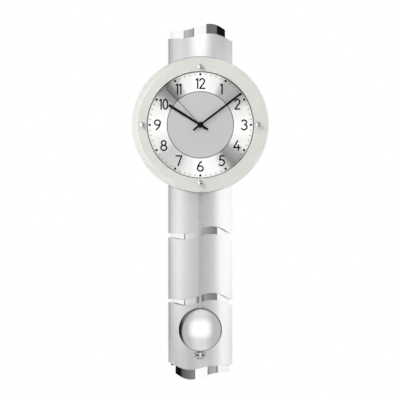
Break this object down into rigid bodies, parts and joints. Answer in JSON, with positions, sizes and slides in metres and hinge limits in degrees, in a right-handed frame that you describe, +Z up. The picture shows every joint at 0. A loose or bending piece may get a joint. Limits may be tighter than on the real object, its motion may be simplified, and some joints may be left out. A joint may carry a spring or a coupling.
{
  "type": "pendulum wall clock",
  "caption": "Quartz wall clock with a bevelled glass dial on bent brushed-aluminium panels, a mirror-bright back sheet and a swinging pendulum with a round bob.",
  "frame": {"origin": "on the wall plane and the centre line, on the flat rear of the backboard just under the hanger plate", "axes": "+Y into the wall, -Y towards the viewer, +Z up, +X to the viewer's right"},
  "size_m": [0.25, 0.0935, 0.6644],
  "materials": {
    "board": "matt black paint on fibreboard",
    "timber": "bare plywood",
    "zinc": "zinc plated",
    "mirror": "mirror polished",
    "foam": "matt mounting pad",
    "aluminium": "brushed along its height",
    "steel": "plain steel",
    "carrier": "satin grey",
    "chapter": "brushed in circles, printed numerals",
    "matt": "matt silver",
    "satin": "satin grey-green",
    "glass": "clear, bevelled and polished rim",
    "chrome": "polished",
    "black": "satin black",
    "case": "moulded black",
    "white": "moulded natural white",
    "board_green": "green solder mask",
    "copper": "enamelled copper wire",
    "brass": "turned brass",
    "magnet": "ground ferrite",
    "cell": "plain dark blue wrap"
  },
  "bodies": {
    "clock": {"backboard": "board", "former_top": "timber", "former_middle": "timber", "former_bottom": "timber", "wall_hanger": "zinc", "hanger_screw_left": "zinc", "hanger_screw_right": "zinc", "contact_left": "zinc", "contact_right": "zinc", "mirror_sheet": "mirror", "spacer_top": "foam", "spacer_upper": "foam", "spacer_middle": "foam", "spacer_lower": "foam", "upper_panel": "aluminium", "middle_panel": "aluminium", "lower_panel": "aluminium", "dial_pillar_1": "steel", "dial_pillar_2": "steel", "dial_pillar_3": "steel", "dial_pillar_4": "steel", "standoff_12": "steel", "standoff_3": "steel", "standoff_6": "steel", "standoff_9": "steel", "stator": "steel", "dial_plate": "carrier", "dial_ring": "chapter", "dial_centre": "matt", "mask_ring": "satin", "glass_disc": "glass", "stud_12": "chrome", "stud_3": "chrome", "stud_6": "chrome", "stud_9": "chrome", "movement_case": "case", "movement_cover": "case", "movement_plate": "white", "circuit_board": "board_green", "drive_coil": "copper", "pendulum_coil": "copper", "hand_nut": "brass"},
    "second_arbor": {"second_wheel": "brass", "second_hand": "black"},
    "rotor_spindle": {"rotor": "magnet"},
    "intermediate_arbor": {"intermediate_wheel": "white"},
    "third_arbor": {"third_wheel": "white"},
    "minute_pipe": {"minute_wheel": "white", "minute_hand": "black"},
    "motion_work": {"motion_wheel": "white", "setting_knob": "white"},
    "hour_pipe": {"hour_wheel": "white", "hour_hand": "black"},
    "cell": {"battery": "cell"},
    "pendulum": {"pendulum_hanger": "white", "pendulum_magnet": "magnet", "pendulum_rod": "steel"},
    "bob": {"bob_front": "chrome", "bob_back": "steel"},
    "nut": {"rating_nut": "chrome"}
  },
  "joints": [
    {"name": "second_spin", "type": "hinge", "parent": "clock", "child": "second_arbor", "pos_m": [0, -0.06, -0.115], "axis": [0, 1, 0], "continuous": true},
    {"name": "rotor_spin", "type": "hinge", "parent": "clock", "child": "rotor_spindle", "pos_m": [0.0015, -0.06, -0.12794], "axis": [0, 1, 0], "continuous": true},
    {"name": "intermediate_spin", "type": "hinge", "parent": "clock", "child": "intermediate_arbor", "pos_m": [-0.004, -0.06, -0.12245], "axis": [0, 1, 0], "continuous": true},
    {"name": "third_spin", "type": "hinge", "parent": "clock", "child": "third_arbor", "pos_m": [0.012, -0.06, -0.115], "axis": [0, 1, 0], "continuous": true},
    {"name": "minute_spin", "type": "hinge", "parent": "clock", "child": "minute_pipe", "pos_m": [0, -0.06, -0.115], "axis": [0, 1, 0], "continuous": true},
    {"name": "motion_spin", "type": "hinge", "parent": "clock", "child": "motion_work", "pos_m": [-0.013, -0.06, -0.115], "axis": [0, 1, 0], "continuous": true},
    {"name": "hour_spin", "type": "hinge", "parent": "clock", "child": "hour_pipe", "pos_m": [0, -0.06, -0.115], "axis": [0, 1, 0], "continuous": true},
    {"name": "battery_out", "type": "slide", "parent": "clock", "child": "cell", "axis": [0, 1, 0], "range_m": [0, 0.085]},
    {"name": "pendulum_swing", "type": "hinge", "parent": "clock", "child": "pendulum", "pos_m": [0, -0.053, -0.129], "axis": [0, 1, 0], "range_deg": [-4.5, 4.5]},
    {"name": "bob_adjust", "type": "slide", "parent": "pendulum", "child": "bob", "axis": [0, 0, 1], "range_m": [-0.0021, 0.0021]},
    {"name": "rating_nut_turn", "type": "hinge", "parent": "bob", "child": "nut", "pos_m": [0, -0.05, -0.535], "axis": [0, 0, 1], "range_deg": [-1082, 1082]}
  ],
  "couplings": [
    {"joint": "rotor_spin", "follows": "second_spin", "ratio": 30},
    {"joint": "intermediate_spin", "follows": "second_spin", "ratio": -5},
    {"joint": "third_spin", "follows": "second_spin", "ratio": -0.13333},
    {"joint": "minute_spin", "follows": "second_spin", "ratio": 0.016667},
    {"joint": "motion_spin", "follows": "second_spin", "ratio": -0.0055556},
    {"joint": "hour_spin", "follows": "second_spin", "ratio": 0.0013889},
    {"joint": "rating_nut_turn", "follows": "bob_adjust", "rad_per_m": 8976}
  ]
}
